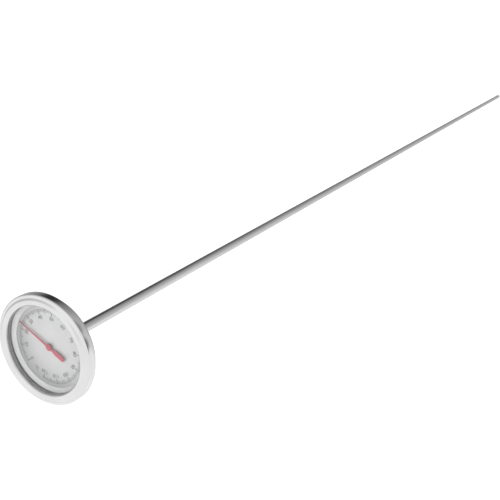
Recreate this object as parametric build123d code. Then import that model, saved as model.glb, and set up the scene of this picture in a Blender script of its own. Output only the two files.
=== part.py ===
from build123d import *
import math
import os

# Bimetal dial thermometer with a long probe stem.
# Millimetres. Z is the stem's axis: the dial faces +Z and the stem points to -Z.
# The origin is on the axis, at the underside of the hex nut, where the bare stem begins.
# The dial's 12 o'clock is +Y and its 3 o'clock is +X.

# ---- driving dimensions ----
STEM_LENGTH = 1000.0          # bare stem below the nut
STEM_R = 2.5
STEM_WALL = 0.4
NECK_R = 2.3                  # the tube's turned-down top, in the nut and the collar
BEZEL_R = 26.0                # 52 mm head
OPENING_R = 20.9              # clear opening inside the bezel
SPINDLE_R = 0.5
RUNNING_GAP = 0.05            # radial clearance of each turning fit
REST_TEMPERATURE = 24.0       # what the pointer shows at rest, in degrees C
MID_TEMPERATURE = 60.0        # this mark is at 12 o'clock
DEGREES_PER_UNIT = 2.7        # dial angle for each degree C

# ---- heights along the axis ----
NUT_HEIGHT = 6.0
BACK_Z = 6.8                  # underside of the case's central boss
SHEET = 0.5                   # case and bezel sheet
FLOOR_Z = 9.3                 # underside of the case's wide flat back
COLLAR_Z = 8.1                # underside of the collar's flange
TUBE_TOP_Z = 9.6
DIAL_BOTTOM_Z = 13.0
DIAL_TOP_Z = 13.5
NEEDLE_Z = 14.1
NEEDLE_THICK = 0.3
LENS_Z = 15.0
LENS_TOP_Z = 16.2
GASKET_LIP = 2.1              # height of the dark wall between the window and the bezel
CRIMP_Z = 14.3                # back edge of the bezel
EDGE_Z = 18.9                 # front of the bezel's outer band
CREST_Z = 19.6                # top of the bezel's bead

# ---- radii ----
BORE_R = STEM_R - STEM_WALL
SPINDLE_HOLE_R = SPINDLE_R + RUNNING_GAP
JOURNAL_R = 3.95              # the collar's journal, that the head turns on
CASE_HOLE_R = JOURNAL_R + RUNNING_GAP
WASHER_HOLE_R = JOURNAL_R + 0.15
NECK_WASHER_R = 6.5
FRICTION_WASHER_R = 6.2
COLLAR_FLANGE_R = 7.0
BEARING_FLANGE_R = 3.2
CASE_BOSS_R = 9.3
CASE_FLAT_R = 20.6            # where the flat back turns up into the sloped side
CASE_WALL_R = 24.3
CASE_FLANGE_R = 25.2
DIAL_R = 22.3
DIAL_HOLE_R = 1.4
DIAL_VISIBLE_R = 19.5
RETAINER_R = 23.2
LENS_R = 22.65
GASKET_R = 23.7
POINTER_BOSS_R = 0.95         # through the needle's eye
POINTER_DOME_R = 1.65

# ---- sensing coil, at the tip end of the stem ----
TIP_DOME = 2.0                # height of the tip's rounding
TIP_SPIGOT = 5.0
COIL_R = 1.55
COIL_PITCH = 2.5
COIL_TURNS = 18
STRIP_THICK = 0.2
STRIP_WIDTH = 1.9
COIL_OVERLAP = 3.0            # how far each post reaches into the coil
COIL_BOTTOM_Z = -STEM_LENGTH + 14.0
COIL_TOP_Z = COIL_BOTTOM_Z + COIL_PITCH * COIL_TURNS
POST_R = COIL_R - STRIP_THICK / 2 - RUNNING_GAP
SPINDLE_BOTTOM_Z = COIL_TOP_Z - COIL_OVERLAP
SPINDLE_TOP_Z = 14.6

# ---- bushes that guide the spindle ----
BUSH_COUNT = 5
BUSH_LENGTH = 6.0
LOWER_BEARING_Z = COIL_TOP_Z + 8.0

SMALL_EDGE = 0.3              # chamfer on turned pieces
BASE = (Align.CENTER, Align.CENTER, Align.MIN)

os.makedirs("parts", exist_ok=True)


def save(solid, node):
    solid.label = node
    export_step(solid, f"parts/{node}.step")


def turned(*points):
    """Solid of revolution about Z from a closed outline of (radius, height) points."""
    with BuildPart() as piece:
        with BuildSketch(Plane.XZ):
            with BuildLine():
                Polyline(*points, close=True)
            make_face()
        revolve(axis=Axis.Z)
    return piece.part


def ring(outer_r, inner_r, bottom_z, top_z):
    return turned((inner_r, bottom_z), (outer_r, bottom_z), (outer_r, top_z), (inner_r, top_z))


def pressed_sheet(points, bend_radii, inner_side):
    """Sheet of even thickness, spun about Z from its outer line with rounded bends."""
    with BuildLine(Plane.XZ) as line:
        FilletPolyline(*points, radius=bend_radii)
    outline = line.wire().offset_2d(SHEET, side=inner_side, closed=True)
    return revolve(Face(outline), axis=Axis.Z)


# ---- stem ----
def stem_tube():
    """Thin tube whose top is turned down, which leaves a shoulder for the nut."""
    bottom_z = -STEM_LENGTH + TIP_DOME
    return turned(
        (BORE_R, bottom_z),
        (STEM_R, bottom_z),
        (STEM_R, 0),
        (NECK_R, 0),
        (NECK_R, TUBE_TOP_Z),
        (BORE_R, TUBE_TOP_Z),
    )


def stem_tip():
    """Plug with a spigot in the tube and a rounded end."""
    shoulder_z = -STEM_LENGTH + TIP_DOME
    spigot_z = shoulder_z + TIP_SPIGOT
    flat_r = 0.8
    rounding = 2.2
    with BuildPart() as tip:
        with BuildSketch(Plane.XZ):
            with BuildLine():
                Polyline((0, spigot_z), (0, -STEM_LENGTH), (flat_r, -STEM_LENGTH))
                RadiusArc((flat_r, -STEM_LENGTH), (STEM_R, shoulder_z), -rounding)
                Polyline((STEM_R, shoulder_z), (BORE_R, shoulder_z), (BORE_R, spigot_z), (0, spigot_z))
            make_face()
        revolve(axis=Axis.Z)
    return tip.part


def calibration_nut():
    """Hexagon brazed on the tube's neck, with turned-off corners and a chamfered mouth."""
    across_flats = 11.0
    chamfer = 0.55
    mouth = 0.25
    corner_r = across_flats / math.sqrt(3)
    face_r = corner_r - 2 * chamfer
    with BuildPart() as hexagon:
        with BuildSketch():
            RegularPolygon(across_flats / 2, 6, major_radius=False)
        extrude(amount=NUT_HEIGHT)
    envelope = turned(
        (NECK_R + mouth, 0),
        (face_r, 0),
        (corner_r, chamfer),
        (corner_r, NUT_HEIGHT - chamfer),
        (face_r, NUT_HEIGHT),
        (NECK_R, NUT_HEIGHT),
        (NECK_R, mouth),
    )
    return hexagon.part & envelope


def neck_washer():
    return ring(NECK_WASHER_R, WASHER_HOLE_R, NUT_HEIGHT, BACK_Z - RUNNING_GAP)


def friction_washer():
    return ring(FRICTION_WASHER_R, WASHER_HOLE_R, BACK_Z + SHEET + RUNNING_GAP, COLLAR_Z)


def stem_collar():
    """Flanged sleeve: the case turns on its journal, trapped below its flange."""
    return turned(
        (NECK_R, NUT_HEIGHT),
        (JOURNAL_R, NUT_HEIGHT),
        (JOURNAL_R, COLLAR_Z),
        (COLLAR_FLANGE_R, COLLAR_Z),
        (COLLAR_FLANGE_R, TUBE_TOP_Z - SMALL_EDGE),
        (COLLAR_FLANGE_R - SMALL_EDGE, TUBE_TOP_Z),
        (NECK_R, TUBE_TOP_Z),
    )


def upper_bearing():
    """Bush in the tube's mouth, with a flange on the tube's end."""
    flange_top_z = TUBE_TOP_Z + 0.6
    return turned(
        (SPINDLE_HOLE_R, TUBE_TOP_Z - BUSH_LENGTH),
        (BORE_R, TUBE_TOP_Z - BUSH_LENGTH),
        (BORE_R, TUBE_TOP_Z),
        (BEARING_FLANGE_R, TUBE_TOP_Z),
        (BEARING_FLANGE_R, flange_top_z),
        (SPINDLE_HOLE_R, flange_top_z),
    )


def spindle_bush(middle_z):
    """Bush pressed in the tube, with a small lead-in chamfer at each end."""
    low = middle_z - BUSH_LENGTH / 2
    high = middle_z + BUSH_LENGTH / 2
    return turned(
        (SPINDLE_HOLE_R, low),
        (BORE_R - SMALL_EDGE, low),
        (BORE_R, low + SMALL_EDGE),
        (BORE_R, high - SMALL_EDGE),
        (BORE_R - SMALL_EDGE, high),
        (SPINDLE_HOLE_R, high),
    )


def helix_anchor():
    """Plug pressed in the tube above the tip, with a post inside the coil's lower end."""
    base_z = -STEM_LENGTH + TIP_DOME + TIP_SPIGOT
    step_z = COIL_BOTTOM_Z - 1.5
    post_z = COIL_BOTTOM_Z + COIL_OVERLAP
    return turned((0, base_z), (BORE_R, base_z), (BORE_R, step_z), (POST_R, step_z), (POST_R, post_z), (0, post_z))


def bimetal_helix():
    """Flat bimetal strip wound with its width along the axis."""
    with BuildPart() as coil:
        with BuildLine() as path:
            Helix(COIL_PITCH, COIL_PITCH * COIL_TURNS, COIL_R, center=(0, 0, COIL_BOTTOM_Z))
        with BuildSketch(Plane(origin=path.line @ 0, x_dir=(1, 0, 0), z_dir=path.line % 0)):
            Rectangle(STRIP_THICK, STRIP_WIDTH)
        sweep(path=path.line, is_frenet=True)
    return coil.part


# ---- head ----
def bezel_ring():
    """Rolled ring: crimped lip, side wall, outer band, groove, bead and inner wall."""
    lip_r = CASE_WALL_R + 0.45
    groove_r = 24.35
    bead_r = 23.4
    points = [
        (lip_r, CRIMP_Z),
        (BEZEL_R, CRIMP_Z),
        (BEZEL_R, EDGE_Z),
        (groove_r, EDGE_Z - 0.15),
        (bead_r, CREST_Z),
        (OPENING_R, CREST_Z),
        (OPENING_R, LENS_TOP_Z + GASKET_LIP),
    ]
    return pressed_sheet(points, [0.7, 0.95, 0.15, 1.0, 1.2], Side.RIGHT)


def case_cup():
    """Pan with a central boss, a wide flat back, a sloped side and a flange."""
    flange_z = CRIMP_Z + SHEET
    slope_top_z = 12.6
    points = [
        (CASE_FLANGE_R, flange_z),
        (CASE_WALL_R, flange_z),
        (CASE_WALL_R, slope_top_z),
        (CASE_FLAT_R, FLOOR_Z),
        (CASE_BOSS_R, FLOOR_Z),
        (CASE_BOSS_R, BACK_Z),
        (CASE_HOLE_R, BACK_Z),
    ]
    return pressed_sheet(points, [0.4, 1.4, 1.6, 0.6, 1.0], Side.LEFT)


def dial_seat_ring():
    """Angle-section ring that stands on the case's floor and carries the dial."""
    floor_z = FLOOR_Z + SHEET
    wall_r = 18.9
    shelf_r = 21.6
    return turned(
        (wall_r, floor_z),
        (wall_r + SHEET, floor_z),
        (wall_r + SHEET, DIAL_BOTTOM_Z - SHEET),
        (shelf_r, DIAL_BOTTOM_Z - SHEET),
        (shelf_r, DIAL_BOTTOM_Z),
        (wall_r, DIAL_BOTTOM_Z),
    )


def dial_plate():
    return ring(DIAL_R, DIAL_HOLE_R, DIAL_BOTTOM_Z, DIAL_TOP_Z)


def dial_retainer_ring():
    """Ring with a sloped inner face, between the dial's rim and the window."""
    foot = 0.25
    top_r = OPENING_R + 0.5
    return turned(
        (DIAL_VISIBLE_R, DIAL_TOP_Z),
        (RETAINER_R, DIAL_TOP_Z),
        (RETAINER_R, LENS_Z),
        (top_r, LENS_Z),
        (DIAL_VISIBLE_R, DIAL_TOP_Z + foot),
    )


def lens():
    edge = 0.2
    return turned(
        (0, LENS_Z),
        (LENS_R - edge, LENS_Z),
        (LENS_R, LENS_Z + edge),
        (LENS_R, LENS_TOP_Z - edge),
        (LENS_R - edge, LENS_TOP_Z),
        (0, LENS_TOP_Z),
    )


def lens_gasket():
    """Soft ring round the window's edge, with a tall lip that the bezel presses on the glass."""
    lip_r = OPENING_R + 0.1
    lip_z = LENS_TOP_Z + GASKET_LIP
    return turned(
        (LENS_R, LENS_Z),
        (GASKET_R, LENS_Z),
        (GASKET_R, lip_z),
        (lip_r, lip_z),
        (lip_r, LENS_TOP_Z),
        (LENS_R, LENS_TOP_Z),
    )


# ---- pointer ----
def spindle_rod():
    return turned(
        (0, SPINDLE_BOTTOM_Z),
        (SPINDLE_R, SPINDLE_BOTTOM_Z),
        (SPINDLE_R, SPINDLE_TOP_Z),
        (0, SPINDLE_TOP_Z),
    )


def helix_hub():
    return ring(POST_R, SPINDLE_R, SPINDLE_BOTTOM_Z, COIL_TOP_Z + 2.0)


def pointer_hub():
    """Boss pressed on the spindle, with a domed top above the needle."""
    foot_z = NEEDLE_Z - 0.35
    shoulder_z = NEEDLE_Z + NEEDLE_THICK
    dome_top_z = LENS_Z - 0.2
    dome_height = dome_top_z - shoulder_z
    sphere_r = (POINTER_DOME_R**2 + dome_height**2) / (2 * dome_height)
    with BuildPart() as hub:
        with BuildSketch(Plane.XZ):
            with BuildLine():
                Polyline((0, dome_top_z), (0, foot_z), (POINTER_BOSS_R, foot_z))
                Polyline((POINTER_BOSS_R, foot_z), (POINTER_BOSS_R, shoulder_z), (POINTER_DOME_R, shoulder_z))
                RadiusArc((POINTER_DOME_R, shoulder_z), (0, dome_top_z), -sphere_r)
            make_face()
        revolve(axis=Axis.Z)
        with Locations((0, 0, foot_z)):
            Cylinder(SPINDLE_R, SPINDLE_TOP_Z - foot_z, align=BASE, mode=Mode.SUBTRACT)
    return hub.part


def pointer_needle():
    """Thin tapered needle with a paddle tail, turned to the rest temperature."""
    tip_r = 18.6
    tip_half = 0.18
    root_half = 0.6
    neck_r = 2.4
    shoulder_r = 4.0
    tail_half = 1.15
    tail_centre_r = 8.35
    heading = (MID_TEMPERATURE - REST_TEMPERATURE) * DEGREES_PER_UNIT
    right_side = [(tip_half, tip_r), (root_half, 0), (root_half, -neck_r), (tail_half, -shoulder_r)]
    right_side.append((tail_half, -tail_centre_r))
    left_side = [(-x, y) for x, y in reversed(right_side)]
    with BuildPart() as needle:
        with BuildSketch(Plane.XY.offset(NEEDLE_Z)):
            with BuildLine():
                Polyline(*right_side)
                RadiusArc(right_side[-1], left_side[0], tail_half)
                Polyline(*left_side)
                Line(left_side[-1], right_side[0])
            make_face()
            Circle(POINTER_DOME_R)
            Circle(POINTER_BOSS_R, mode=Mode.SUBTRACT)
        extrude(amount=NEEDLE_THICK)
    return needle.part.rotate(Axis.Z, heading)


# ---- write every piece ----
for make_piece in (
    stem_tube,
    stem_tip,
    calibration_nut,
    neck_washer,
    friction_washer,
    stem_collar,
    upper_bearing,
    helix_anchor,
    bimetal_helix,
    bezel_ring,
    case_cup,
    dial_seat_ring,
    dial_plate,
    dial_retainer_ring,
    lens,
    lens_gasket,
    spindle_rod,
    helix_hub,
    pointer_hub,
    pointer_needle,
):
    save(make_piece(), make_piece.__name__)

save(spindle_bush(LOWER_BEARING_Z), "lower_bearing")
bush_spacing = -LOWER_BEARING_Z / (BUSH_COUNT + 1)
for number in range(1, BUSH_COUNT + 1):
    save(spindle_bush(-number * bush_spacing), f"guide_bush_{number}")
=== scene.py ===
import math

import bmesh
import bpy
from mathutils import Matrix, Vector


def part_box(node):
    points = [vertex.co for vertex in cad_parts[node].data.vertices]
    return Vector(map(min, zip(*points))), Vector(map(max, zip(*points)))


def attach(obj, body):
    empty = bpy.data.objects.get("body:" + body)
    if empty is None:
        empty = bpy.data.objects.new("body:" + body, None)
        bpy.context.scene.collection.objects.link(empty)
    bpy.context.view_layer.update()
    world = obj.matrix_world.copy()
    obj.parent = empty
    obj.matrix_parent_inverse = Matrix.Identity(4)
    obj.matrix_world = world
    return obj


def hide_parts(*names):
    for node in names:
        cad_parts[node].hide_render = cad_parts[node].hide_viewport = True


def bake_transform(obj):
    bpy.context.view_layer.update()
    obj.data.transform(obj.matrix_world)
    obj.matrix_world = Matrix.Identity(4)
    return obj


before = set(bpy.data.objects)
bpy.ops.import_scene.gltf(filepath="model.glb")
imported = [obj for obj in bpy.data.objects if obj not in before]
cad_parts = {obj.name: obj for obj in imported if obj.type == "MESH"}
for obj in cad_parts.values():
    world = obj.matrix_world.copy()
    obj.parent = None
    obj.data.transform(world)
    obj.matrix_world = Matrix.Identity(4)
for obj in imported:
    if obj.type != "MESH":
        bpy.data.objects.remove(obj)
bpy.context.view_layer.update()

# Dial thermometer with a long probe stem. Metres, in the CAD model's frame:
# Z is the stem's axis, the dial faces +Z, and its 12 o'clock is +Y.

MM = 0.001
scene = bpy.context.scene

# ---- sizes from the CAD model ----
bezel_low, bezel_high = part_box("bezel_ring")
case_low, case_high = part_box("case_cup")
dial_low, dial_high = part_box("dial_plate")
lens_low, lens_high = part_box("lens")
stem_low, stem_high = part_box("stem_tube")
tip_low, tip_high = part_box("stem_tip")
retainer_low, retainer_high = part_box("dial_retainer_ring")
gasket_low, gasket_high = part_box("lens_gasket")
needle_low, needle_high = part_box("pointer_needle")
hub_low, hub_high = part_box("pointer_hub")
coil_low, coil_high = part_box("bimetal_helix")

BEZEL_R = bezel_high.x
DIAL_TOP = dial_high.z

# ---- sizes that the CAD model's boxes don't give ----
SHEET = 0.5 * MM  # steel of the case and the bezel
OPENING_R = 20.9 * MM  # clear opening inside the bezel
EDGE_DROP = 0.7 * MM  # how far the bezel's outer band is below its bead
STEM_WALL = 0.4 * MM
NECK_STEP = 0.2 * MM  # how much the tube's top is turned down

# ---- the dial's scale ----
SCALE_TOP = 120
MID_TEMPERATURE = 60
REST_TEMPERATURE = 24
DEGREES_PER_UNIT = 2.7
TICK_OUTER_R = 17.6 * MM
FIGURE_R = 13.9 * MM
FIGURE_SIZE = 2.5 * MM
UNIT_SIZE = 2.3 * MM
UNIT_Y = -15.2 * MM
INK = 0.02 * MM


# ---------------------------------------------------------------- mesh helpers
def finish_mesh(bm, name, sharp_degrees=32.0):
    """Makes an object of a bmesh, with outward faces and soft shading between sharp edges."""
    bmesh.ops.remove_doubles(bm, verts=bm.verts, dist=1e-7)
    bmesh.ops.recalc_face_normals(bm, faces=bm.faces)
    mesh = bpy.data.meshes.new(name)
    bm.to_mesh(mesh)
    bm.free()
    mesh.shade_smooth()
    mesh.set_sharp_from_angle(angle=math.radians(sharp_degrees))
    piece = bpy.data.objects.new(name, mesh)
    scene.collection.objects.link(piece)
    return piece


def lathe(name, outline, segments=192):
    """Spins a closed outline of (radius, height) points about Z."""
    bm = bmesh.new()
    rings = []
    for radius, height in outline:
        if radius < 1e-9:
            rings.append([bm.verts.new((0, 0, height))] * segments)
            continue
        ring = []
        for step in range(segments):
            angle = math.tau * step / segments
            ring.append(bm.verts.new((radius * math.cos(angle), radius * math.sin(angle), height)))
        rings.append(ring)
    for ring, other in zip(rings, rings[1:] + rings[:1]):
        for step in range(segments):
            ahead = (step + 1) % segments
            corners = [ring[step], ring[ahead], other[ahead], other[step]]
            corners = list(dict.fromkeys(corners))
            if len(corners) > 2:
                bm.faces.new(corners)
    return finish_mesh(bm, name)


def rounded(points, radii, steps=8):
    """Open line through points, each inner corner of which is an arc of the given radius."""
    path = [Vector(points[0])]
    for before, corner, after, radius in zip(points, points[1:], points[2:], radii):
        corner = Vector(corner)
        back = (Vector(before) - corner).normalized()
        ahead = (Vector(after) - corner).normalized()
        half = back.angle(ahead) / 2
        centre = corner + (back + ahead).normalized() * radius / math.sin(half)
        start = corner + back * radius / math.tan(half) - centre
        turn = math.pi - 2 * half
        if back.x * ahead.y - back.y * ahead.x > 0:
            turn = -turn
        for step in range(steps + 1):
            angle = turn * step / steps
            cosine, sine = math.cos(angle), math.sin(angle)
            offset = Vector((start.x * cosine - start.y * sine, start.x * sine + start.y * cosine))
            path.append(centre + offset)
    path.append(Vector(points[-1]))
    return path


def sheet_outline(points, radii, thickness, side):
    """Closed outline of bent sheet: the outer line, and an inner line beside it at its thickness."""
    outer = rounded(points, radii)
    inner = []
    for index, point in enumerate(outer):
        before = outer[max(index - 1, 0)]
        after = outer[min(index + 1, len(outer) - 1)]
        along = (after - before).normalized()
        inner.append(point + Vector((-along.y, along.x)) * thickness * side)
    return outer + inner[::-1]


def band(outer_r, inner_r, low, high, edge=0.05 * MM):
    """Outline of a plain ring with small broken edges."""
    return [
        (inner_r, low + edge),
        (inner_r + edge, low),
        (outer_r - edge, low),
        (outer_r, low + edge),
        (outer_r, high - edge),
        (outer_r - edge, high),
        (inner_r + edge, high),
        (inner_r, high - edge),
    ]


# ---------------------------------------------------------------- materials
def node(tree, kind, **settings):
    made = tree.nodes.new(kind)
    for name, value in settings.items():
        setattr(made, name, value)
    return made


def base_material(name, roughness, metallic=0.0):
    """A material with its tree, its main shader and the object's own coordinates."""
    material = bpy.data.materials.new(name)
    material.use_nodes = True
    tree = material.node_tree
    shader = tree.nodes["Principled BSDF"]
    shader.inputs["Metallic"].default_value = metallic
    shader.inputs["Roughness"].default_value = roughness
    place = node(tree, "ShaderNodeTexCoord").outputs["Object"]
    return material, tree, shader, place


def noise(tree, place, scale, stretch=(1, 1, 1), detail=4.0):
    """Noise of about scale waves a metre, pulled out along an axis by a small stretch there."""
    mapping = node(tree, "ShaderNodeMapping")
    mapping.inputs["Scale"].default_value = stretch
    tree.links.new(place, mapping.inputs["Vector"])
    texture = node(tree, "ShaderNodeTexNoise")
    texture.inputs["Scale"].default_value = scale
    texture.inputs["Detail"].default_value = detail
    tree.links.new(mapping.outputs["Vector"], texture.inputs["Vector"])
    return texture.outputs["Fac"]


def spin_place(tree, place, across, along_z):
    """Coordinates of (radius, height), for marks that run round the axis."""
    split = node(tree, "ShaderNodeSeparateXYZ")
    tree.links.new(place, split.inputs["Vector"])
    flat = node(tree, "ShaderNodeCombineXYZ")
    tree.links.new(split.outputs["X"], flat.inputs["X"])
    tree.links.new(split.outputs["Y"], flat.inputs["Y"])
    length = node(tree, "ShaderNodeVectorMath", operation="LENGTH")
    tree.links.new(flat.outputs["Vector"], length.inputs[0])
    made = node(tree, "ShaderNodeCombineXYZ")
    radius = length.outputs["Value"]
    height = split.outputs["Z"]
    for value, scale, socket in ((radius, across, "X"), (height, along_z, "Z")):
        times = node(tree, "ShaderNodeMath", operation="MULTIPLY")
        tree.links.new(value, times.inputs[0])
        times.inputs[1].default_value = scale
        tree.links.new(times.outputs["Value"], made.inputs[socket])
    return made.outputs["Vector"]


def ramp(tree, value, stops):
    """Colour ramp from (position, colour) stops. A colour is one grey number or three."""
    made = node(tree, "ShaderNodeValToRGB")
    elements = made.color_ramp.elements
    while len(elements) < len(stops):
        elements.new(0.5)
    for element, (position, colour) in zip(elements, stops):
        element.position = position
        rgb = (colour,) * 3 if isinstance(colour, (int, float)) else colour
        element.color = (*rgb, 1.0)
    tree.links.new(value, made.inputs["Fac"])
    return made.outputs["Color"]


def add_bump(tree, shader, height, strength, depth):
    bump = node(tree, "ShaderNodeBump")
    bump.inputs["Strength"].default_value = strength
    bump.inputs["Distance"].default_value = depth
    tree.links.new(height, bump.inputs["Height"])
    tree.links.new(bump.outputs["Normal"], shader.inputs["Normal"])


def mix_values(tree, first, second, share=0.5):
    mix = node(tree, "ShaderNodeMix", data_type="FLOAT")
    mix.inputs["Factor"].default_value = share
    tree.links.new(first, mix.inputs["A"])
    tree.links.new(second, mix.inputs["B"])
    return mix.outputs["Result"]


def turned_metal(name, dark, light, rough, line_scale=9000.0, depth=0.004 * MM, blotch=90.0):
    """Metal finished on a lathe: fine lines round the axis, faint stains and uneven polish.

    dark and light are the ends of its colour, and rough holds the ends of its roughness."""
    material, tree, shader, place = base_material(name, rough[0], metallic=1.0)
    round_axis = spin_place(tree, place, 1.0, 1.0)
    lines = noise(tree, round_axis, line_scale, detail=2.0)
    stains = noise(tree, place, blotch, detail=5.0)
    both = mix_values(tree, stains, lines, 0.35)
    tree.links.new(ramp(tree, both, [(0.3, dark), (0.7, light)]), shader.inputs["Base Color"])
    tree.links.new(ramp(tree, both, [(0.25, rough[0]), (0.75, rough[1])]), shader.inputs["Roughness"])
    add_bump(tree, shader, lines, 0.25, depth)
    return material


def drawn_metal(name, dark, light, rough, depth=0.004 * MM):
    """Drawn and ground tube or wire: fine lines along Z, with slow changes of polish."""
    material, tree, shader, place = base_material(name, rough[0], metallic=1.0)
    lines = noise(tree, place, 5200.0, stretch=(1, 1, 0.012), detail=3.0)
    stains = noise(tree, place, 160.0, stretch=(1, 1, 0.35), detail=5.0)
    both = mix_values(tree, stains, lines, 0.4)
    tree.links.new(ramp(tree, both, [(0.3, dark), (0.7, light)]), shader.inputs["Base Color"])
    tree.links.new(ramp(tree, both, [(0.25, rough[0]), (0.75, rough[1])]), shader.inputs["Roughness"])
    add_bump(tree, shader, lines, 0.25, depth)
    return material


def lacquer(name, dark, light, rough, coat=0.5):
    """Sprayed paint with a faint orange peel, under a clear coat of the given weight."""
    material, tree, shader, place = base_material(name, rough[0])
    cloud = noise(tree, place, 700.0, detail=3.0)
    peel = noise(tree, place, 5200.0, detail=2.0)
    tree.links.new(ramp(tree, cloud, [(0.3, dark), (0.7, light)]), shader.inputs["Base Color"])
    tree.links.new(ramp(tree, cloud, [(0.25, rough[0]), (0.75, rough[1])]), shader.inputs["Roughness"])
    shader.inputs["Coat Weight"].default_value = coat
    shader.inputs["Coat Roughness"].default_value = 0.12
    add_bump(tree, shader, peel, 0.2, 0.01 * MM)
    return material


def moulded(name, dark, light, rough, grain=4200.0, depth=0.01 * MM):
    """Moulded plastic or rubber: slight mottling and a fine grain."""
    material, tree, shader, place = base_material(name, rough[0])
    cloud = noise(tree, place, 450.0, detail=5.0)
    fine = noise(tree, place, grain, detail=2.0)
    tree.links.new(ramp(tree, cloud, [(0.3, dark), (0.7, light)]), shader.inputs["Base Color"])
    tree.links.new(ramp(tree, cloud, [(0.25, rough[0]), (0.75, rough[1])]), shader.inputs["Roughness"])
    add_bump(tree, shader, fine, 0.3, depth)
    return material


def window_glass(name):
    """Clear flat glass. Light for the dial passes straight through; the eye sees it bent."""
    material = bpy.data.materials.new(name)
    material.use_nodes = True
    tree = material.node_tree
    tree.nodes.remove(tree.nodes["Principled BSDF"])
    output = tree.nodes["Material Output"]
    glass = node(tree, "ShaderNodeBsdfGlass")
    glass.inputs["Color"].default_value = (0.988, 0.99, 0.989, 1.0)
    glass.inputs["Roughness"].default_value = 0.0
    glass.inputs["IOR"].default_value = 1.5
    clear = node(tree, "ShaderNodeBsdfTransparent")
    clear.inputs["Color"].default_value = (0.962, 0.965, 0.963, 1.0)
    rays = node(tree, "ShaderNodeLightPath")
    either = node(tree, "ShaderNodeMath", operation="MAXIMUM")
    tree.links.new(rays.outputs["Is Shadow Ray"], either.inputs[0])
    tree.links.new(rays.outputs["Is Diffuse Ray"], either.inputs[1])
    mix = node(tree, "ShaderNodeMixShader")
    tree.links.new(either.outputs["Value"], mix.inputs["Fac"])
    tree.links.new(glass.outputs["BSDF"], mix.inputs[1])
    tree.links.new(clear.outputs["BSDF"], mix.inputs[2])
    tree.links.new(mix.outputs["Shader"], output.inputs["Surface"])
    return material


def dial_paint(name):
    """Satin silver-white dial: soft sheen, a faint mottle and a little dust."""
    material, tree, shader, place = base_material(name, 0.42)
    cloud = noise(tree, place, 160.0, detail=6.0)
    speck = noise(tree, place, 6500.0, detail=2.0)
    both = mix_values(tree, cloud, speck, 0.3)
    stops = [(0.32, 0.55), (0.68, 0.61)]
    tree.links.new(ramp(tree, both, stops), shader.inputs["Base Color"])
    tree.links.new(ramp(tree, cloud, [(0.25, 0.36), (0.75, 0.5)]), shader.inputs["Roughness"])
    shader.inputs["Metallic"].default_value = 0.12
    add_bump(tree, shader, speck, 0.25, 0.006 * MM)
    return material


polished = turned_metal(
    "polished_stainless", 0.69, 0.76, (0.10, 0.20), line_scale=7000.0, depth=0.002 * MM
)
satin_case = turned_metal("satin_stainless", 0.56, 0.66, (0.26, 0.40))
turned_steel = turned_metal("turned_steel", 0.52, 0.64, (0.22, 0.38))
washer_steel = turned_metal("washer_steel", 0.46, 0.58, (0.30, 0.46))
bright_ring = turned_metal("bright_ring", 0.80, 0.88, (0.30, 0.42), depth=0.003 * MM)
mill_aluminium = turned_metal("mill_aluminium", 0.60, 0.70, (0.34, 0.50))
brass = turned_metal("bearing_brass", (0.56, 0.40, 0.16), (0.72, 0.55, 0.26), (0.24, 0.40))
stem_steel = drawn_metal("drawn_stainless", 0.60, 0.70, (0.16, 0.28))
wire_steel = drawn_metal("spindle_wire", 0.48, 0.58, (0.26, 0.40))
bimetal = drawn_metal("bimetal_strip", (0.42, 0.36, 0.28), (0.58, 0.50, 0.40), (0.28, 0.44))
red = lacquer("pointer_red", (0.41, 0.055, 0.09), (0.52, 0.08, 0.12), (0.40, 0.55), coat=0.0)
ink = lacquer("dial_ink", 0.08, 0.12, (0.45, 0.6), coat=0.0)
white_plastic = moulded("bearing_plastic", (0.74, 0.74, 0.70), (0.84, 0.84, 0.80), (0.40, 0.55))
rubber = moulded("gasket_rubber", 0.30, 0.38, (0.60, 0.80))
paint = dial_paint("dial_silver_white")
glass = window_glass("window_glass")


def dress(piece, material):
    piece.data.materials.clear()
    piece.data.materials.append(material)


def add(piece, body, material, slot, *replaced):
    """Gives a new piece its material and body, and hides the CAD nodes that it stands for. The slot is
    not used.
    """
    dress(piece, material)
    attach(piece, body)
    if replaced:
        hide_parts(*replaced)
    return piece


# ---------------------------------------------------------------- camera
def place_camera():
    """Above the dial and to its upper side, looking down past the head along the stem."""
    outer_edge = Vector((0, 0, bezel_high.z - EDGE_DROP))
    location = outer_edge + Vector((0.0871, 0.2456, 0.2131))
    forward = Vector((-0.1675, -0.5248, -0.8346)).normalized()
    up = Vector((-0.6894, 0.6674, -0.2818))
    right = forward.cross(up).normalized()
    up = right.cross(forward)
    data = bpy.data.cameras.new("camera")
    data.sensor_width = 36.0
    data.lens = 53.3
    data.clip_start = 0.01
    data.clip_end = 100.0
    camera = bpy.data.objects.new("camera", data)
    turn = Matrix((right, up, -forward)).transposed().to_4x4()
    camera.matrix_world = Matrix.Translation(location) @ turn
    scene.collection.objects.link(camera)
    scene.camera = camera


place_camera()


# ---------------------------------------------------------------- head
def bezel():
    """Rolled ring: crimped lip, side wall, outer band, groove, bead and inner wall."""
    crimp = bezel_low.z
    crest = bezel_high.z
    edge = crest - EDGE_DROP
    groove_depth = 0.15 * MM
    points = [
        (24.75 * MM, crimp),
        (BEZEL_R, crimp),
        (BEZEL_R, edge),
        (24.35 * MM, edge - groove_depth),
        (23.4 * MM, crest),
        (OPENING_R, crest),
        (OPENING_R, gasket_high.z),
    ]
    radii = [r * MM for r in (0.7, 0.95, 0.15, 1.0, 1.2)]
    return lathe("bezel", sheet_outline(points, radii, SHEET, 1))


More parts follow.
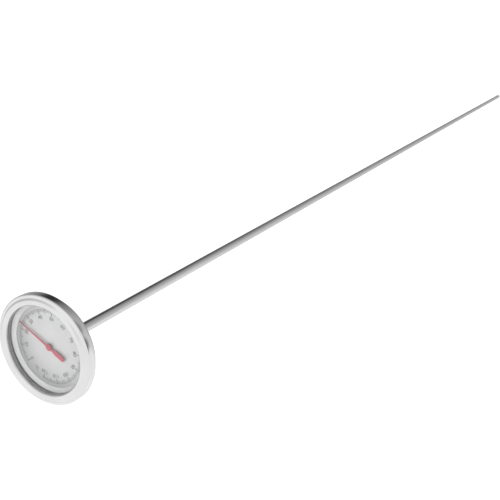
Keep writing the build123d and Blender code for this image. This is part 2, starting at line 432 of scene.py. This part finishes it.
def case():
    """Pan with a central boss, a wide flat back, a sloped side and a flange."""
    flange = case_high.z - SHEET
    back = case_low.z + 2.5 * MM
    wall_r = 24.3 * MM
    boss_r = 9.3 * MM
    hole_r = 4.0 * MM
    points = [
        (case_high.x, flange),
        (wall_r, flange),
        (wall_r, 12.6 * MM),
        (20.6 * MM, back),
        (boss_r, back),
        (boss_r, case_low.z),
        (hole_r, case_low.z),
    ]
    radii = [r * MM for r in (0.4, 1.4, 1.6, 0.6, 1.0)]
    return lathe("case_back", sheet_outline(points, radii, SHEET, -1))


def window():
    edge = 0.2 * MM
    radius = lens_high.x
    outline = [
        (0, lens_low.z),
        (radius - edge, lens_low.z),
        (radius, lens_low.z + edge),
        (radius, lens_high.z - edge),
        (radius - edge, lens_high.z),
        (0, lens_high.z),
    ]
    return lathe("window", outline)


def retainer():
    """Ring whose sloped inner face runs from the window's edge down to the dial."""
    foot_r = 19.5 * MM
    foot_height = 0.25 * MM
    top_r = OPENING_R + 0.5 * MM
    outline = [
        (foot_r, retainer_low.z),
        (retainer_high.x, retainer_low.z),
        (retainer_high.x, retainer_high.z),
        (top_r, retainer_high.z),
        (foot_r, retainer_low.z + foot_height),
    ]
    return lathe("dial_retainer", outline)


def gasket():
    """Soft ring round the window's edge, with a tall lip between the glass and the bezel."""
    lip_r = OPENING_R + 0.1 * MM
    edge = 0.15 * MM
    window_r = lens_high.x
    window_top = lens_high.z
    outline = [
        (window_r, gasket_low.z),
        (gasket_high.x, gasket_low.z),
        (gasket_high.x, gasket_high.z),
        (lip_r + edge, gasket_high.z),
        (lip_r, gasket_high.z - edge),
        (lip_r, window_top + edge),
        (lip_r + edge, window_top),
        (window_r, window_top),
    ]
    return lathe("window_gasket", outline)


add(bezel(), "head", polished, "bezel_steel", "bezel_ring")
add(case(), "head", satin_case, "case_steel", "case_cup")
add(window(), "head", glass, "lens_clear", "lens")
add(retainer(), "head", bright_ring, "retainer_steel", "dial_retainer_ring")
add(gasket(), "head", rubber, "gasket_rubber", "lens_gasket")
dial_hole_r = 1.4 * MM
dial = lathe("dial", band(dial_high.x, dial_hole_r, dial_low.z, DIAL_TOP))
add(dial, "head", paint, "dial_face", "dial_plate")


# ---------------------------------------------------------------- the dial's print
def heading(temperature):
    """Angle of a temperature, anticlockwise from 12 o'clock, in radians."""
    return math.radians((MID_TEMPERATURE - temperature) * DEGREES_PER_UNIT)


def scale_marks():
    """A mark for each degree, longer and bolder at each fifth and tenth, on a thin ring line."""
    bm = bmesh.new()
    for temperature in range(SCALE_TOP + 1):
        if temperature % 10 == 0:
            length, width = 2.3 * MM, 0.38 * MM
        elif temperature % 5 == 0:
            length, width = 1.8 * MM, 0.28 * MM
        else:
            length, width = 1.25 * MM, 0.20 * MM
        made = bmesh.ops.create_cube(bm, size=1.0)["verts"]
        place = Matrix.Rotation(heading(temperature), 4, "Z")
        place = place @ Matrix.Translation((0, TICK_OUTER_R - length / 2, DIAL_TOP + INK / 2))
        place = place @ Matrix.Diagonal((width, length, INK, 1.0))
        bmesh.ops.transform(bm, matrix=place, verts=made)
    return finish_mesh(bm, "scale_marks")


def scale_line():
    """Thin line round the outer ends of the marks, from 0 to the top of the scale."""
    width = 0.10 * MM
    steps = 240
    bm = bmesh.new()
    sections = []
    for step in range(steps + 1):
        angle = heading(SCALE_TOP * step / steps)
        outward = Vector((-math.sin(angle), math.cos(angle), 0))
        corners = []
        for radius, height in (
            (TICK_OUTER_R, DIAL_TOP),
            (TICK_OUTER_R + width, DIAL_TOP),
            (TICK_OUTER_R + width, DIAL_TOP + INK),
            (TICK_OUTER_R, DIAL_TOP + INK),
        ):
            corners.append(bm.verts.new(outward * radius + Vector((0, 0, height))))
        sections.append(corners)
    for section, other in zip(sections, sections[1:]):
        for side in range(4):
            ahead = (side + 1) % 4
            bm.faces.new((section[side], section[ahead], other[ahead], other[side]))
    bm.faces.new(sections[0])
    bm.faces.new(sections[-1][::-1])
    return finish_mesh(bm, "scale_line")


def figures():
    """Plain figures at each tenth degree, and the unit below the centre, joined in one mesh."""
    places = []
    for temperature in range(0, SCALE_TOP + 1, 10):
        turn = Matrix.Rotation(heading(temperature), 4, "Z")
        places.append((str(temperature), FIGURE_SIZE, turn @ Matrix.Translation((0, FIGURE_R, 0))))
    places.append(("°C", UNIT_SIZE, Matrix.Translation((0, UNIT_Y, 0))))
    bm = bmesh.new()
    for text, size, place in places:
        curve = bpy.data.curves.new("figure", "FONT")
        curve.body = text
        curve.size = size
        curve.align_x = "CENTER"
        curve.align_y = "CENTER"
        curve.offset = 0.03 * MM
        curve.extrude = INK / 2
        curve.resolution_u = 4
        writing = bpy.data.objects.new("figure", curve)
        scene.collection.objects.link(writing)
        bpy.context.view_layer.update()
        evaluated = writing.evaluated_get(bpy.context.evaluated_depsgraph_get())
        mesh = bpy.data.meshes.new_from_object(evaluated)
        mesh.transform(Matrix.Translation((0, 0, DIAL_TOP + INK / 2)) @ place)
        bm.from_mesh(mesh)
        bpy.data.objects.remove(writing)
        bpy.data.meshes.remove(mesh)
        bpy.data.curves.remove(curve)
    return finish_mesh(bm, "scale_figures")


for print_piece in (scale_marks(), scale_line(), figures()):
    add(print_piece, "head", ink, "dial_face")


# ---------------------------------------------------------------- pointer
def needle():
    """Thin tapered needle with a low ridge, an eye round the boss and a paddle tail."""
    bm = bmesh.new()
    low, high = needle_low.z, needle_high.z
    shoulder = high - 0.06 * MM
    tail_half = 1.15
    tail_centre = -8.35
    # Distance from the axis and half width, in millimetres, from the tip to the tail.
    stations = [
        (18.6, 0.18),
        (2.0, 0.52),
        (1.2, 0.75),
        (-2.4, 0.6),
        (-4.0, tail_half),
        (tail_centre, tail_half),
    ]
    end_steps = 6
    for step in range(1, end_steps + 1):
        angle = math.radians(90) * step / end_steps
        stations.append((tail_centre - tail_half * math.sin(angle), tail_half * math.cos(angle)))
    stations = [(along * MM, half * MM) for along, half in stations]
    least_half = 0.02 * MM
    sections = []
    for along, half in stations:
        half = max(half, least_half)
        flat_half = half * 0.35
        corners = [
            (-half, low),
            (half, low),
            (half, shoulder),
            (flat_half, high),
            (-flat_half, high),
            (-half, shoulder),
        ]
        sections.append([bm.verts.new((x, along, z)) for x, z in corners])
    for section, other in zip(sections, sections[1:]):
        for side in range(6):
            ahead = (side + 1) % 6
            bm.faces.new((section[side], section[ahead], other[ahead], other[side]))
    bm.faces.new(sections[0])
    bm.faces.new(sections[-1][::-1])
    bmesh.ops.transform(bm, matrix=Matrix.Rotation(heading(REST_TEMPERATURE), 4, "Z"), verts=bm.verts)
    return finish_mesh(bm, "needle", sharp_degrees=20.0)


def hub():
    """Boss with a domed top over the needle."""
    foot_z, top = hub_low.z, hub_high.z
    shoulder = needle_high.z
    dome_r = hub_high.x
    height = top - shoulder
    sphere_r = (dome_r**2 + height**2) / (2 * height)
    spread = math.asin(dome_r / sphere_r)
    boss_r = 0.95 * MM
    bevel = 0.02 * MM
    outline = [
        (0, foot_z),
        (boss_r, foot_z),
        (boss_r, needle_low.z - bevel),
        (dome_r, needle_low.z),
    ]
    steps = 16
    for step in range(steps + 1):
        angle = spread * (1 - step / steps)
        outline.append((sphere_r * math.sin(angle), top - sphere_r + sphere_r * math.cos(angle)))
    outline[-1] = (0, top)
    return lathe("pointer_dome", outline, segments=64)


add(needle(), "pointer", red, "pointer_red", "pointer_needle")
add(hub(), "pointer", red, "pointer_red", "pointer_hub")


# ---------------------------------------------------------------- stem
def stem():
    """Tube with a turned-down neck, whose shoulder is at the underside of the hex nut."""
    bore = stem_high.x - STEM_WALL
    neck = stem_high.x - NECK_STEP
    outline = [
        (bore, stem_low.z),
        (stem_high.x, stem_low.z),
        (stem_high.x, 0.0),
        (neck, 0.0),
        (neck, stem_high.z),
        (bore, stem_high.z),
    ]
    return lathe("stem", outline, segments=64)


def tip():
    """Welded plug with a rounded end."""
    shoulder = stem_low.z
    radius = tip_high.x
    bore = radius - STEM_WALL
    corner_r = radius - 0.35 * MM
    line = rounded([(0, tip_low.z), (corner_r, tip_low.z), (radius, shoulder)], [1.1 * MM])
    outline = [(point.x, point.y) for point in line]
    outline += [(bore, shoulder), (bore, tip_high.z), (0, tip_high.z)]
    return lathe("stem_end", outline, segments=64)


add(stem(), "stem", stem_steel, "stem_steel", "stem_tube")
add(tip(), "stem", stem_steel, "stem_steel", "stem_tip")


# ---------------------------------------------------------------- sensing coil
def coil():
    """Flat strip wound in a helix, the kind that twists to turn the pointer; here it is a fixed mesh
    at rest.
    """
    pitch = 2.5 * MM
    turns = 18
    radius = 1.55 * MM
    half_thick = 0.1 * MM
    half_wide = 0.85 * MM
    steps = turns * 40
    middle = (coil_low.z + coil_high.z) / 2
    bm = bmesh.new()
    sections = []
    for step in range(steps + 1):
        share = step / steps
        angle = math.tau * turns * share
        centre_z = middle + (share - 0.5) * pitch * turns
        outward = Vector((math.cos(angle), math.sin(angle), 0))
        corners = []
        for across, along in ((-1, -1), (1, -1), (1, 1), (-1, 1)):
            place = outward * (radius + across * half_thick)
            corners.append(bm.verts.new(place + Vector((0, 0, centre_z + along * half_wide))))
        sections.append(corners)
    for section, other in zip(sections, sections[1:]):
        for side in range(4):
            ahead = (side + 1) % 4
            bm.faces.new((section[side], section[ahead], other[ahead], other[side]))
    bm.faces.new(sections[0])
    bm.faces.new(sections[-1][::-1])
    return finish_mesh(bm, "bimetal_coil")


coil_piece = coil()
dress(coil_piece, bimetal)
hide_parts("bimetal_helix")
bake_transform(coil_piece)


# ---------------------------------------------------------------- CAD nodes that stay
kept = {
    "calibration_nut": turned_steel,
    "stem_collar": turned_steel,
    "neck_washer": washer_steel,
    "friction_washer": washer_steel,
    "upper_bearing": brass,
    "helix_anchor": brass,
    "helix_hub": brass,
    "lower_bearing": white_plastic,
    "dial_seat_ring": mill_aluminium,
    "spindle_rod": wire_steel,
}
for number in range(1, 6):
    kept[f"guide_bush_{number}"] = white_plastic
for name, material in kept.items():
    dress(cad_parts[name], material)


# ---------------------------------------------------------------- floor, backdrop and light
def stage_material(name, light, dark):
    """Pale matte paper with a very faint mottle and a little light of its own."""
    material, tree, shader, place = base_material(name, 0.9)
    cloud = noise(tree, place, 3.0, detail=3.0)
    tree.links.new(ramp(tree, cloud, [(0.3, dark), (0.7, light)]), shader.inputs["Base Color"])
    shader.inputs["Emission Color"].default_value = (1.0, 1.0, 1.0, 1.0)
    shader.inputs["Emission Strength"].default_value = 0.15
    return material


def floor():
    """Large pale floor just below the stem's end."""
    gap = 0.5 * MM
    bm = bmesh.new()
    bmesh.ops.create_circle(bm, cap_ends=True, radius=14.0, segments=96)
    bmesh.ops.translate(bm, vec=(0, 0, tip_low.z - gap), verts=bm.verts)
    piece = finish_mesh(bm, "floor")
    dress(piece, stage_material("floor_paper", 0.95, 0.93))
    piece.visible_glossy = False


def world_light():
    """White studio, dimmer towards four directions. The camera itself sees it plain white.

    Each list of stops gives the brightness by the cosine of the angle from its direction."""
    world = bpy.data.worlds.new("studio")
    scene.world = world
    world.use_nodes = True
    tree = world.node_tree
    way = node(tree, "ShaderNodeTexCoord").outputs["Generated"]
    low_side = [
        (0.0, 1.0),
        (0.08, 0.85),
        (0.5, 0.57),
        (0.7, 0.46),
        (0.86, 0.30),
        (0.93, 0.23),
        (0.985, 0.06),
        (1.0, 0.03),
    ]
    horizon_gap = [(0.0, 1.0), (0.945, 1.0), (0.975, 0.22), (1.0, 0.10)]
    side_gap = [(0.0, 1.0), (0.945, 1.0), (0.975, 0.42), (1.0, 0.32)]
    behind_camera = [(0.0, 1.0), (0.86, 1.0), (0.96, 0.84), (1.0, 0.80)]
    shade = None
    for direction, stops in (
        ((-0.72, 0.25, -0.65), low_side),
        ((0.67, 0.61, -0.42), horizon_gap),
        ((0.24, 0.87, -0.42), side_gap),
        ((0.26, 0.74, 0.62), behind_camera),
    ):
        dot = node(tree, "ShaderNodeVectorMath", operation="DOT_PRODUCT")
        dot.inputs[1].default_value = Vector(direction).normalized()
        tree.links.new(way, dot.inputs[0])
        part = ramp(tree, dot.outputs["Value"], stops)
        if shade is not None:
            both = node(tree, "ShaderNodeVectorMath", operation="MULTIPLY")
            tree.links.new(shade, both.inputs[0])
            tree.links.new(part, both.inputs[1])
            part = both.outputs["Vector"]
        shade = part
    backdrop = node(tree, "ShaderNodeMix", data_type="RGBA")
    seen = node(tree, "ShaderNodeLightPath").outputs["Is Camera Ray"]
    tree.links.new(seen, backdrop.inputs["Factor"])
    tree.links.new(shade, backdrop.inputs["A"])
    backdrop.inputs["B"].default_value = (1.0, 1.0, 1.0, 1.0)
    background = tree.nodes["Background"]
    tree.links.new(backdrop.outputs["Result"], background.inputs["Color"])
    background.inputs["Strength"].default_value = 1.08


def area_light(name, location, target, size, power):
    """Round lamp that lights matte surfaces and isn't mirrored in the metal or seen in the glass."""
    data = bpy.data.lights.new(name, "AREA")
    data.shape = "DISK"
    data.size = size
    data.energy = power
    light = bpy.data.objects.new(name, data)
    light.location = location
    light.visible_glossy = False
    light.visible_transmission = False
    light.rotation_mode = "QUATERNION"
    light.rotation_quaternion = (Vector(target) - Vector(location)).to_track_quat("-Z", "Y")
    scene.collection.objects.link(light)


floor()
world_light()
area_light("key_light", location=(-0.31, -0.86, 0.45), target=(0, 0, 0.015), size=0.55, power=9.0)
scene.view_settings.view_transform = "Standard"
